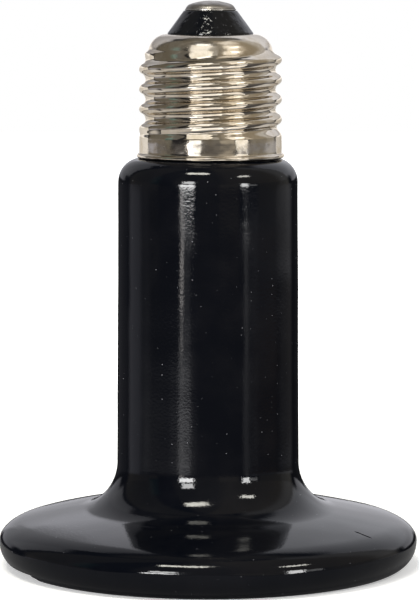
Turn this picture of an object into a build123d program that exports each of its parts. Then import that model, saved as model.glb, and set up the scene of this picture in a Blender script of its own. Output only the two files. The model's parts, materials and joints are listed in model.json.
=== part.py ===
from build123d import *
import os
from math import asin, atan2, cos, degrees, pi, radians, sin, sqrt

# Ceramic heat emitter with an Edison screw cap, millimetres, +Z up.
# The origin is on the axis of the disc, at the plane that the underside rests on.

# Disc
disc_radius = 38.5
rim_height = 4.8
rim_lower_reach = 4.4
rim_upper_reach = 7.2
rim_upper_rise = 4.15
crown_fall = 14.2
crown_radius = 115.0

# Neck
flare_radius = 8.7
neck_base_radius = 16.7
neck_top_radius = 16.4
shoulder_height = 75.2
shoulder_round = 4.3
bore_floor = 13.0
bore_floor_round = 3.0

# Spiral ridge of the underside, which follows the heating coil
ridge_margin = 6.1
ridge_eye_radius = 4.4
ridge_foot_width = 4.6
ridge_depth = 1.4
ridge_flank_radius = 1.5
ridge_flank_overrun = 0.06
ridge_half_turns = 8
ridge_start_angle = 211.0
ridge_end_reach = 3.4

# Heating coil and leads
coil_diameter = 2.4
coil_cover = 0.7
coil_start_inset = 6.0
coil_tail_angle = 60.0
coil_end_gap = 0.3
lead_diameter = 1.0
lead_channel_gap = 0.15
lead_channel_rise = 7.3
neutral_inset = 12.0
neutral_return_rise = 3.6
neutral_bend_radius = 1.6
neutral_riser_gap = 3.1
neutral_top_drop = 1.8
live_inset = 6.0
live_jog_lift = 5.0
live_jog_rise = 6.0
live_bend_radius = 4.0

# Screw cap
cap_offset = 0.45
sheet = 0.3
skirt_radius = 13.05
lip_reach = 0.45
skirt_height = 3.8
thread_height = 16.0
thread_pitch = 3.629
thread_depth = 1.15
thread_crest_rise = 3.3
thread_run_in = 2.4
thread_run_out = 1.6
dome_radius = 3.5
dome_inset = 1.7
dome_drop = 0.8
cement_width = 1.45
spigot_wall = 2.6
spigot_drop = 3.5
spigot_chamfer = 0.8
fit_gap = 0.05

# Tip
cone_foot_rise = 0.25
cone_rise = 4.0
cone_top_radius = 4.85
insulator_bore_radius = 1.5
plate_radius = 4.65
plate_thickness = 0.35
shank_radius = 1.3
shank_length = 2.5
solder_radius = 4.55
solder_rise = 1.45
solder_crown_radius = 11.2
solder_edge_round = 1.3

# How far the cuts run past what they cut
cut_depth = 1.0
cut_past_rim = 6.0

# How finely the threaded wall is worked out
wall_steps_round = 48
wall_steps_high = 56

# Radii and pitch that follow from the sizes above
thread_root_radius = skirt_radius - thread_depth
dome_reach = skirt_radius - dome_inset - dome_radius
spigot_radius = skirt_radius - sheet - cement_width - 2 * fit_gap
bore_radius = spigot_radius - spigot_wall
neutral_riser_radius = bore_radius - neutral_riser_gap
ridge_radius = disc_radius - ridge_margin
ridge_pitch = 2 * (ridge_radius - ridge_eye_radius) / ridge_half_turns

# Heights that follow from the sizes above
coil_height = ridge_depth + coil_cover + coil_diameter / 2
thread_foot = shoulder_height + skirt_height
thread_head = thread_foot + thread_height
thread_crest_height = thread_foot + thread_crest_rise
dome_height = thread_head - dome_drop
dome_top = dome_height + dome_radius
spigot_height = thread_head - spigot_drop
cone_foot_height = dome_top + cone_foot_rise
cone_top_height = cone_foot_height + cone_rise
neutral_top_height = thread_head - neutral_top_drop
live_jog_height = thread_foot + live_jog_lift


def turned(edges, axis_x=0.0):
    """Turns a closed outline, drawn as radius and height, about an upright axis."""
    face = make_face(Plane.XZ * Curve(edges))
    return Pos(axis_x, 0, 0) * revolve(face, Axis.Z)


def part_turned(edges, radius, centre, start, sweep):
    """Turns an outline drawn about its own middle along an arc of the given radius."""
    face = make_face(Plane.XZ * Pos(radius, 0) * Curve(edges))
    arc = revolve(face, Axis.Z, sweep)
    return Pos(centre[0], centre[1], 0) * Rot(0, 0, start) * arc


def closed(points):
    """The straight edges through the points, back to the first."""
    return Polyline(*points, close=True).edges()


def on_circle(radius, angle):
    """A point at a radius and an angle in degrees."""
    return radius * cos(radians(angle)), radius * sin(radians(angle))


# Outline of the ceramic


def rim_end():
    """Where the upper round of the rim meets the crown, with its angle on the ellipse."""
    fall = radians(crown_fall)
    angle = atan2(rim_upper_rise * cos(fall), rim_upper_reach * sin(fall))
    point = (
        disc_radius - rim_upper_reach + rim_upper_reach * cos(angle),
        rim_height + rim_upper_rise * sin(angle),
    )
    return point, degrees(angle)


def crown_centre():
    """Centre of the shallow arc over the top of the disc."""
    (rim_x, rim_z), _ = rim_end()
    fall = radians(crown_fall)
    return rim_x - crown_radius * sin(fall), rim_z - crown_radius * cos(fall)


def flare_centre():
    """Centre of the arc that touches both the neck and the crown."""
    crown_x, crown_z = crown_centre()
    x = neck_base_radius + flare_radius
    return x, crown_z + sqrt((crown_radius + flare_radius) ** 2 - (x - crown_x) ** 2)


def ceramic_outline():
    """Half section of the disc, flare, neck and shoulder."""
    _, rim_angle = rim_end()
    crown_x, crown_z = crown_centre()
    flare_x, flare_z = flare_centre()
    meet_angle = degrees(atan2(flare_z - crown_z, flare_x - crown_x))
    crown_start = 90 - crown_fall
    shoulder_x = neck_top_radius - shoulder_round
    shoulder_z = shoulder_height - shoulder_round
    foot = (disc_radius - rim_lower_reach, 0)
    return [
        Line((0, 0), foot),
        EllipticalCenterArc((foot[0], rim_height), rim_lower_reach, rim_height, -90, arc_size=90),
        EllipticalCenterArc(
            (disc_radius - rim_upper_reach, rim_height),
            rim_upper_reach,
            rim_upper_rise,
            0,
            arc_size=rim_angle,
        ),
        CenterArc((crown_x, crown_z), crown_radius, crown_start, meet_angle - crown_start),
        CenterArc((flare_x, flare_z), flare_radius, meet_angle + 180, -meet_angle),
        Line((neck_base_radius, flare_z), (neck_top_radius, shoulder_z)),
        CenterArc((shoulder_x, shoulder_z), shoulder_round, 0, 90),
        Line((shoulder_x, shoulder_height), (0, shoulder_height)),
        Line((0, shoulder_height), (0, 0)),
    ]


# Spiral of half turns


def spiral_centre(half_turn):
    """Centre of a half turn: even ones turn about the axis, odd ones about a point beside it."""
    return on_circle(ridge_pitch / 2 * (half_turn % 2), ridge_start_angle + 180)


def spiral_radius(half_turn):
    """Radius of a half turn of the ridge."""
    return ridge_radius - half_turn * ridge_pitch / 2


def flank_angle():
    """How far the round flank of a ridge turns before it passes the resting plane."""
    return degrees(asin((ridge_depth + ridge_flank_overrun) / ridge_flank_radius))


def flank(foot_x, side):
    """Round flank of a ridge, from its foot at the floor of the groove to just below the ground."""
    turn = flank_angle()
    centre = (foot_x + side * ridge_flank_radius, ridge_depth)
    start = 180 if side > 0 else 0
    return CenterArc(centre, ridge_flank_radius, start, side * turn)


def groove_outline():
    """Section of the groove between two turns of the ridge, about its own middle."""
    half = (ridge_pitch - ridge_foot_width) / 2
    left, right = flank(-half, -1), flank(half, 1)
    left_end, right_end = left @ 1, right @ 1
    return [
        left,
        Line(left_end, (left_end.X, -cut_depth)),
        Line((left_end.X, -cut_depth), (right_end.X, -cut_depth)),
        Line((right_end.X, -cut_depth), right_end),
        right,
        Line((half, ridge_depth), (-half, ridge_depth)),
    ]


def run_out_outline():
    """Section of the space outside the last turn, open to the rim."""
    left = flank(0, -1)
    left_end = left @ 1
    reach = disc_radius - ridge_radius + ridge_pitch + cut_past_rim
    return [
        left,
        Line(left_end, (left_end.X, -cut_depth)),
        Line((left_end.X, -cut_depth), (reach, -cut_depth)),
        Line((reach, -cut_depth), (reach, ridge_depth)),
        Line((reach, ridge_depth), (0, ridge_depth)),
    ]


def rim_radius_at(height):
    """Radius of the lower round of the rim at a height."""
    drop = (rim_height - height) / rim_height
    return disc_radius - rim_lower_reach + rim_lower_reach * sqrt(1 - drop**2)


def ridge_run_out():
    """The space outside the ridge where it leaves the rim, round the back half of the disc."""
    inner = ridge_radius - ridge_pitch + ridge_foot_width / 2
    outer = rim_radius_at(ridge_depth) + fit_gap
    centre = on_circle((outer - inner) / 2, ridge_start_angle + 180)
    return part_turned(run_out_outline(), (outer + inner) / 2, centre, ridge_start_angle - 180, 180)


def ridge_end_cut():
    """Rounds off the blunt outer end of the ridge."""
    middle = (ridge_end_reach, ridge_depth)
    nose = EllipticalCenterArc(middle, ridge_end_reach, ridge_flank_radius, 180, arc_size=flank_angle())
    tip = nose @ 1
    edges = [
        nose,
        Line(tip, (tip.X, -cut_depth)),
        Line((tip.X, -cut_depth), (-cut_depth, -cut_depth)),
        Line((-cut_depth, -cut_depth), (-cut_depth, ridge_depth)),
        Line((-cut_depth, ridge_depth), (0, ridge_depth)),
    ]
    inner = ridge_radius - ridge_pitch / 2
    length = disc_radius - inner + cut_past_rim
    wedge = extrude(make_face(Plane.YZ * Curve(edges)), length, dir=(1, 0, 0))
    return Rot(0, 0, ridge_start_angle) * Pos(inner, 0, 0) * wedge


def spiral_grooves():
    """Every half turn of groove between the turns of the ridge."""
    grooves = []
    for half_turn in range(ridge_half_turns):
        radius = spiral_radius(half_turn) - ridge_pitch / 2
        start = ridge_start_angle + 180 * half_turn
        grooves.append(part_turned(groove_outline(), radius, spiral_centre(half_turn), start, 180))
    return grooves


def coil_tube(radius, lengthen=0.0):
    """A tube along the ridge, from its outer end to its inner one."""
    section = [CenterArc((0, coil_height), radius, 0, 360)]
    first = coil_start_inset - lengthen
    tube = part_turned(section, spiral_radius(0), spiral_centre(0), ridge_start_angle + first, 180 - first)
    for half_turn in range(1, ridge_half_turns + 1):
        start = ridge_start_angle + 180 * half_turn
        sweep_angle = 180 if half_turn < ridge_half_turns else coil_tail_angle
        tube += part_turned(section, spiral_radius(half_turn), spiral_centre(half_turn), start, sweep_angle)
    return tube


# Leads


def wire(route, bends, radius):
    """A round wire along straight runs and tangent bends."""
    path = FilletPolyline(*route, radius=bends)
    start = Plane(origin=path @ 0, z_dir=path % 0)
    return sweep(start * Circle(radius), path)


def live_end():
    """Where the live lead stands on the inner end of the coil."""
    angle = ridge_start_angle + 180 * ridge_half_turns + coil_tail_angle - live_inset
    x, y = on_circle(spiral_radius(ridge_half_turns), angle)
    centre = spiral_centre(ridge_half_turns)
    return x + centre[0], y + centre[1]


def live_route(start_height):
    """From the inner end of the coil up the bore, then over to the axis of the cap."""
    x, y = live_end()
    top = cone_top_height - shank_length - fit_gap
    return [
        (x, y, start_height),
        (x, y, live_jog_height),
        (cap_offset, 0, live_jog_height + live_jog_rise),
        (cap_offset, 0, top),
    ]


def neutral_route(start_height):
    """From the outer end of the coil back to the bore, up it and out to the wall of the shell."""
    angle = ridge_start_angle + neutral_inset
    return_height = coil_height + neutral_return_rise
    out_x, out_y = on_circle(ridge_radius, angle)
    in_x, in_y = on_circle(neutral_riser_radius, angle)
    reach = shell_radius(angle, neutral_top_height) - sheet - lead_diameter / 2
    end_x, end_y = on_circle(reach, angle)
    return [
        (out_x, out_y, start_height),
        (out_x, out_y, return_height),
        (in_x + cap_offset, in_y, return_height),
        (in_x + cap_offset, in_y, neutral_top_height),
        (end_x + cap_offset, end_y, neutral_top_height),
    ]


def lead_channels():
    """The ways through the ceramic that the two leads are cast in."""
    radius = lead_diameter / 2 + lead_channel_gap
    top = bore_floor + lead_channel_rise
    out, turn, back, _, _ = neutral_route(coil_height)
    neutral = wire([out, turn, back, (back[0], back[1], top)], neutral_bend_radius, radius)
    x, y = live_end()
    live = extrude(Pos(x, y, coil_height) * Circle(radius), top - coil_height)
    return [neutral, live]


def lead_start():
    """Height at which a lead stands on the coil."""
    return coil_height + coil_diameter / 2 + fit_gap


# Screw cap


def ease(t):
    """A smooth step from 0 to 1."""
    t = min(max(t, 0.0), 1.0)
    return t * t * (3 - 2 * t)


def plain_radius(height):
    """Outside radius that the shell would have without its thread."""
    if height > dome_height:
        return dome_reach + sqrt(dome_radius**2 - (height - dome_height) ** 2)
    fall = (height - thread_foot) / (dome_height - thread_foot)
    return skirt_radius + (dome_reach + dome_radius - skirt_radius) * ease(fall)


def shell_radius(angle, height):
    """Outside radius of the shell: a right-hand round thread that fades into the plain ends."""
    turns = (height - thread_crest_height) / thread_pitch - angle / 360
    crest = 0.5 + 0.5 * cos(2 * pi * turns)
    threaded = thread_root_radius + thread_depth * crest
    depth = ease((height - thread_foot) / thread_run_in) * ease((thread_head - height) / thread_run_out)
    return depth * threaded + (1 - depth) * plain_radius(height)


def threaded_face(inset):
    """One side of the rolled sheet between the foot and the head of the thread."""
    rows = []
    for j in range(wall_steps_high + 1):
        height = thread_foot + (thread_head - thread_foot) * j / wall_steps_high
        row = []
        for i in range(wall_steps_round + 1):
            angle = 360 * (i % wall_steps_round) / wall_steps_round
            row.append(Vector(*on_circle(shell_radius(angle, height) - inset, angle), height))
        rows.append(row)
    return Face.make_surface_from_array_of_points(rows, tol=1e-3, min_deg=3, max_deg=3)


def threaded_wall():
    """The rolled sheet where it is threaded, closed by a flat ring at each end."""
    outside, inside = threaded_face(0), threaded_face(sheet)
    faces = [outside, inside]
    for height in (thread_foot, thread_head):
        rings = [
            Wire([edge for edge in face.edges() if abs(edge.center().Z - height) < fit_gap])
            for face in (outside, inside)
        ]
        faces.append(Face(rings[0], [rings[1]]))
    return Solid(Shell(faces))


def skirt():
    """The plain foot of the shell with its hemmed lip."""
    inside = skirt_radius - sheet
    lip_top = shoulder_height + 2 * lip_reach
    edges = [
        Line((inside, shoulder_height), (skirt_radius, shoulder_height)),
        CenterArc((skirt_radius, shoulder_height + lip_reach), lip_reach, -90, 180),
        Line((skirt_radius, lip_top), (skirt_radius, thread_foot)),
        Line((skirt_radius, thread_foot), (inside, thread_foot)),
        Line((inside, thread_foot), (inside, shoulder_height)),
    ]
    return turned(edges)


def dome():
    """The turned-in top of the shell, open in the middle for the insulator."""
    outer_x = plain_radius(thread_head)
    outer_angle = degrees(asin((thread_head - dome_height) / dome_radius))
    inner_radius = dome_radius - sheet
    half_way = on_circle(inner_radius, (outer_angle + 90) / 2)
    edges = [
        CenterArc((dome_reach, dome_height), dome_radius, outer_angle, 90 - outer_angle),
        Line((dome_reach, dome_top), (dome_reach, dome_top - sheet)),
        ThreePointArc(
            (dome_reach, dome_top - sheet),
            (dome_reach + half_way[0], dome_height + half_way[1]),
            (outer_x - sheet, thread_head),
        ),
        Line((outer_x - sheet, thread_head), (outer_x, thread_head)),
    ]
    return turned(edges)


def screw_shell():
    """The rolled sheet shell of the cap."""
    shell = threaded_wall().fuse(skirt().solid(), dome().solid(), tol=1e-3)
    return Pos(cap_offset, 0, 0) * shell


def cap_cement():
    """The ring of cement between the spigot and the skirt."""
    inner, outer = spigot_radius + fit_gap, skirt_radius - sheet - fit_gap
    return turned(
        closed([
            (inner, shoulder_height),
            (outer, shoulder_height),
            (outer, thread_foot),
            (inner, thread_foot),
        ]),
        cap_offset,
    )


def tip_insulator():
    """The glass cone that closes the shell, with a bore for the contact and its lead."""
    seat_radius = dome_radius - sheet - fit_gap
    foot_angle = degrees(asin((thread_head - dome_height) / seat_radius))
    foot_x = dome_reach + seat_radius * cos(radians(foot_angle))
    neck = dome_reach - fit_gap
    seat_angle = degrees(atan2(sqrt(seat_radius**2 - fit_gap**2), -fit_gap))
    seat_top = dome_height + seat_radius * sin(radians(seat_angle))
    edges = [
        Line((insulator_bore_radius, thread_head), (foot_x, thread_head)),
        CenterArc((dome_reach, dome_height), seat_radius, foot_angle, seat_angle - foot_angle),
        Line((neck, seat_top), (neck, cone_foot_height)),
        Line((neck, cone_foot_height), (cone_top_radius, cone_top_height)),
        Line((cone_top_radius, cone_top_height), (insulator_bore_radius, cone_top_height)),
        Line((insulator_bore_radius, cone_top_height), (insulator_bore_radius, thread_head)),
    ]
    return turned(edges, cap_offset)


def contact_plate():
    """The round plate on the insulator, with a shank in its bore."""
    top = cone_top_height + plate_thickness
    return turned(
        closed([
            (0, cone_top_height - shank_length),
            (shank_radius, cone_top_height - shank_length),
            (shank_radius, cone_top_height),
            (plate_radius, cone_top_height),
            (plate_radius, top),
            (0, top),
        ]),
        cap_offset,
    )


def contact_solder():
    """The dome of solder over the plate: a shallow crown with a rounded edge."""
    foot = cone_top_height + plate_thickness
    crown_z = foot + solder_rise - solder_crown_radius
    edge_x = solder_radius - solder_edge_round
    edge_z = crown_z + sqrt((solder_crown_radius - solder_edge_round) ** 2 - edge_x**2)
    meet = degrees(atan2(edge_z - crown_z, edge_x))
    start = degrees(asin((foot - edge_z) / solder_edge_round))
    edge = CenterArc((edge_x, edge_z), solder_edge_round, start, meet - start)
    crown = CenterArc((0, crown_z), solder_crown_radius, meet, 90 - meet)
    edges = [Line((0, foot), edge @ 0), edge, crown, Line(crown @ 1, (0, foot))]
    return turned(edges, cap_offset)


# Ceramic


def neck_bore():
    """The hollow of the neck, blind at the disc and open under the cap."""
    corner = bore_radius - bore_floor_round
    edges = [
        Line((0, bore_floor), (corner, bore_floor)),
        CenterArc((corner, bore_floor + bore_floor_round), bore_floor_round, -90, 90),
        Line((bore_radius, bore_floor + bore_floor_round), (bore_radius, spigot_height + cut_depth)),
        Line((bore_radius, spigot_height + cut_depth), (0, spigot_height + cut_depth)),
        Line((0, spigot_height + cut_depth), (0, bore_floor)),
    ]
    return turned(edges)


def spigot():
    """The plain stub that the cap is cemented on."""
    foot = shoulder_height - shoulder_round
    return turned(
        closed([
            (0, foot),
            (spigot_radius, foot),
            (spigot_radius, spigot_height - spigot_chamfer),
            (spigot_radius - spigot_chamfer, spigot_height),
            (0, spigot_height),
        ]),
        cap_offset,
    )


def ceramic_body():
    """The one glazed casting: disc, ridge, flare, neck, shoulder and spigot."""
    body = turned(ceramic_outline()) + spigot()
    body -= neck_bore()
    body -= [ridge_run_out(), ridge_end_cut()]
    body -= spiral_grooves()
    body -= coil_tube(coil_diameter / 2 + fit_gap, coil_end_gap)
    body -= lead_channels()
    return body


def main():
    """Builds every piece and writes each to its own file."""
    os.makedirs("parts", exist_ok=True)
    pieces = {
        "ceramic_body": ceramic_body(),
        "screw_shell": screw_shell(),
        "tip_insulator": tip_insulator(),
        "contact_plate": contact_plate(),
        "contact_solder": contact_solder(),
        "cap_cement": cap_cement(),
        "heating_coil": coil_tube(coil_diameter / 2),
        "live_lead": wire(live_route(lead_start()), live_bend_radius, lead_diameter / 2),
        "neutral_lead": wire(neutral_route(lead_start()), neutral_bend_radius, lead_diameter / 2),
    }
    for name, piece in pieces.items():
        export_step(piece, f"parts/{name}.step")


main()
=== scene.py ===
import json
import logging
import math
from dataclasses import dataclass, field, fields
from enum import Enum
from typing import Mapping, Optional, Sequence, Union

import bmesh
import bpy
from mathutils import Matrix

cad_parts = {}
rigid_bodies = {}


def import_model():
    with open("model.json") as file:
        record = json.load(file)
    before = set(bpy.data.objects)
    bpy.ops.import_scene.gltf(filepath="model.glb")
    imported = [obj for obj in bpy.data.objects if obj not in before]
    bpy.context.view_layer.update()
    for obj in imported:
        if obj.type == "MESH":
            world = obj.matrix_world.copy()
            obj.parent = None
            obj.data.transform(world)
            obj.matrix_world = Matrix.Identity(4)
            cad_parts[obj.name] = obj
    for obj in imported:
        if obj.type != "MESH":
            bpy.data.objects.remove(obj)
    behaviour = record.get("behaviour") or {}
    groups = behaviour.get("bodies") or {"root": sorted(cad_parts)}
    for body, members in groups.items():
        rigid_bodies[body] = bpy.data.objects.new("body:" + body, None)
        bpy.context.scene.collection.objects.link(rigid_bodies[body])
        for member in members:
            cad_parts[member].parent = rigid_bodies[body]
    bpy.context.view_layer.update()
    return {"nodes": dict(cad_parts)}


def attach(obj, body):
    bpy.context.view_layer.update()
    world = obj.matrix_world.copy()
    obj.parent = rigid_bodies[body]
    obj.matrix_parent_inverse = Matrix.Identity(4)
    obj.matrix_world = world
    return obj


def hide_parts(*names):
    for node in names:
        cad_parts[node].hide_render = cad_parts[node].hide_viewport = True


# Ceramic heat emitter with an Edison screw cap: its looks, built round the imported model.
# Sizes of the object are in millimetres until a mesh is finished, and +Z is up.

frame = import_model()
log = logging.getLogger("emitter")

MILLIMETRE = 0.001
FULL_TURN = 2 * math.pi
OVERLAP = 2.0  # degrees left out where a ring of one arc would repeat the last ring
ROOT = "root"

Operand = Union["Value", float, int]
Colour = tuple[float, float, float]
Point = tuple[float, float]
Span = tuple[float, float]


# Node trees as expressions


@dataclass(frozen=True)
class Value:
    """One output socket of a node, with arithmetic that adds Math nodes."""

    graph: "Graph"
    socket: bpy.types.NodeSocket

    def __add__(self, other: Operand) -> "Value":
        """Sum."""
        return self.graph.math("ADD", self, other)

    def __radd__(self, other: Operand) -> "Value":
        """Sum with a number on the left."""
        return self.graph.math("ADD", other, self)

    def __sub__(self, other: Operand) -> "Value":
        """Difference."""
        return self.graph.math("SUBTRACT", self, other)

    def __rsub__(self, other: Operand) -> "Value":
        """Difference with a number on the left."""
        return self.graph.math("SUBTRACT", other, self)

    def __mul__(self, other: Operand) -> "Value":
        """Product."""
        return self.graph.math("MULTIPLY", self, other)

    def __rmul__(self, other: Operand) -> "Value":
        """Product with a number on the left."""
        return self.graph.math("MULTIPLY", other, self)

    def __truediv__(self, other: Operand) -> "Value":
        """Quotient."""
        return self.graph.math("DIVIDE", self, other)

    def __rtruediv__(self, other: Operand) -> "Value":
        """Quotient with a number on the left."""
        return self.graph.math("DIVIDE", other, self)

    def __neg__(self) -> "Value":
        """Opposite."""
        return self.graph.math("MULTIPLY", self, -1.0)

    def __gt__(self, other: Operand) -> "Value":
        """1 where this is greater, otherwise 0."""
        return self.graph.math("GREATER_THAN", self, other)

    def __lt__(self, other: Operand) -> "Value":
        """1 where this is less, otherwise 0."""
        return self.graph.math("LESS_THAN", self, other)

    def sibling(self, output: Union[str, int]) -> "Value":
        """Another output of the same node."""
        return Value(self.graph, self.socket.node.outputs[output])


@dataclass
class Graph:
    """A shader, world or geometry tree that nodes are added to."""

    tree: bpy.types.NodeTree

    def node(
        self,
        kind: str,
        settings: Optional[Mapping[str, object]] = None,
        sockets: Optional[Mapping[Union[str, int], object]] = None,
        output: Union[str, int] = 0,
    ) -> Value:
        """Adds any node.

        Args:
            kind: The node's type.
            settings: Its properties, such as a Math node's operation, set first.
            sockets: Values or links of its inputs, by name or number.
            output: The output that the result stands for.

        Returns:
            The chosen output.
        """
        node = self.tree.nodes.new(kind)
        for name, value in (settings or {}).items():
            setattr(node, name, value)
        for key, value in (sockets or {}).items():
            if isinstance(value, Value):
                self.tree.links.new(value.socket, node.inputs[key])
            else:
                node.inputs[key].default_value = value
        return Value(self, node.outputs[output] if len(node.outputs) else None)

    def math(self, operation: str, *operands: Operand) -> Value:
        """Adds a Math node on the operands."""
        return self.node("ShaderNodeMath", {"operation": operation}, dict(enumerate(operands)))

    def vector(self, operation: str, *operands: object) -> Value:
        """Adds a Vector Math node on the operands."""
        return self.node("ShaderNodeVectorMath", {"operation": operation}, dict(enumerate(operands)))

    def scaled(self, vector: Value, factor: Operand) -> Value:
        """The vector times a number."""
        sockets = {"Vector": vector, "Scale": factor}
        return self.node("ShaderNodeVectorMath", {"operation": "SCALE"}, sockets)

    def split(self, vector: Value) -> tuple[Value, Value, Value]:
        """The three parts of a vector."""
        x = self.node("ShaderNodeSeparateXYZ", None, {0: vector})
        return x, x.sibling(1), x.sibling(2)

    def joined(self, x: Operand, y: Operand, z: Operand) -> Value:
        """A vector from its three parts."""
        return self.node("ShaderNodeCombineXYZ", None, {0: x, 1: y, 2: z})

    def clamped(self, value: Value) -> Value:
        """The value kept between 0 and 1."""
        return self.math("MINIMUM", self.math("MAXIMUM", value, 0.0), 1.0)

    def step(self, value: Value, start: float, end: float) -> Value:
        """A smooth step from 0 at start to 1 at end."""
        settings = {"interpolation_type": "SMOOTHSTEP"}
        return self.node("ShaderNodeMapRange", settings, {0: value, 1: start, 2: end, 3: 0.0, 4: 1.0})

    def band(self, value: Value, low: float, high: float, soft: float) -> Value:
        """1 between two numbers, with soft ends."""
        return self.step(value, low - soft, low + soft) * self.step(value, high + soft, high - soft)

    def noise(self, vector: Value, scale: float, detail: float, roughness: float) -> Value:
        """Noise between 0 and 1 over a vector."""
        sockets = {"Vector": vector, "Scale": scale, "Detail": detail, "Roughness": roughness}
        return self.node("ShaderNodeTexNoise", {"noise_dimensions": "3D"}, sockets, "Fac")

    def blend(self, factor: Operand, first: object, second: object) -> Value:
        """A colour between two colours."""
        return self.node("ShaderNodeMix", {"data_type": "RGBA"}, {0: factor, 6: first, 7: second}, 2)

    def tinted(self, colour: Colour, strength: Value) -> Value:
        """A colour times a strength."""
        return self.scaled(self.joined(*colour), strength)

    def plus(self, first: Value, second: Value) -> Value:
        """The sum of two colours or vectors."""
        return self.vector("ADD", first, second)


def opaque(colour: Colour) -> tuple[float, float, float, float]:
    """The colour with full cover."""
    return (*colour, 1.0)


# Finishes


@dataclass(frozen=True)
class Pattern:
    """Noise over a surface, cut to smooth patches where it has levels for that."""

    scale: float
    detail: float = 2.0
    roughness: float = 0.5
    cut: Optional[Span] = None

    def over(self, graph: Graph, place: Value) -> Value:
        """Adds the pattern's nodes.

        Args:
            graph: The material's tree.
            place: The point that it is read at.

        Returns:
            The noise, or its patches: 0 below the cut's first level and 1 above its second.
        """
        noise = graph.noise(place, self.scale, self.detail, self.roughness)
        return noise if self.cut is None else graph.step(noise, *self.cut)


class Finish:
    """A procedural finish of one of the object's pieces."""

    name: str = "finish"
    slot: str = ""

    def build(self) -> bpy.types.Material:
        """Makes the material.

        Returns:
            The new material, on Object coordinates.
        """
        material = bpy.data.materials.new(self.name)
        material.use_nodes = True
        tree = material.node_tree
        tree.nodes.clear()
        graph = Graph(tree)
        place = graph.node("ShaderNodeTexCoord", None, None, "Object")
        place = graph.scaled(place, 1 / MILLIMETRE)
        shader = self.shade(graph, place)
        graph.node("ShaderNodeOutputMaterial", None, {"Surface": shader})
        return material

    def shade(self, graph: Graph, place: Value) -> Value:
        """Adds the surface's nodes.

        Args:
            graph: The material's tree.
            place: The point of the surface, in millimetres.

        Returns:
            The shader.
        """
        raise NotImplementedError

    @staticmethod
    def bump(graph: Graph, height: Value) -> Value:
        """Turns a height in millimetres into a normal."""
        sockets = {"Strength": 1.0, "Distance": MILLIMETRE, "Height": height}
        return graph.node("ShaderNodeBump", None, sockets, "Normal")


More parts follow.
